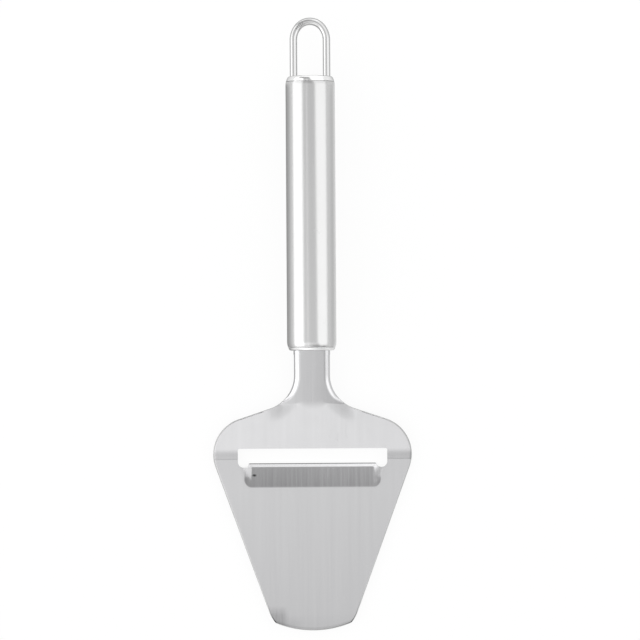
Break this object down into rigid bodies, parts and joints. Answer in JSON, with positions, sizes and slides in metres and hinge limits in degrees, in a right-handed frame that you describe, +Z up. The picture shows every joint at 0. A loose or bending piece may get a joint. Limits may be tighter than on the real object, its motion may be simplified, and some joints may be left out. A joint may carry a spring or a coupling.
{
  "type": "cheese slicer",
  "caption": "Stainless steel cheese slicer: a tapered plate with a slicing slot and cutting tongue, on a round hollow handle with a wire hanging loop.",
  "frame": {"origin": "under the middle of the slicer's box, on the surface that it lies on", "axes": "+X across the plate, +Y from the plate's tip to the hanging loop, +Z up, away from the surface, on the side where the slice comes out"},
  "size_m": [0.0766, 0.2362, 0.019],
  "materials": {
    "satin_steel_plate": "satin stainless steel, ground along the plate",
    "satin_steel_tube": "satin stainless steel, smooth along the tube",
    "polished_steel": "polished stainless steel",
    "dark_nylon": "moulded nylon, not visible"
  },
  "bodies": {
    "root": {"slicer_head": "satin_steel_plate", "handle_tube": "satin_steel_tube", "neck_cap": "polished_steel", "end_cap": "polished_steel", "hanging_loop": "polished_steel", "tang_plug": "dark_nylon"}
  },
  "joints": []
}
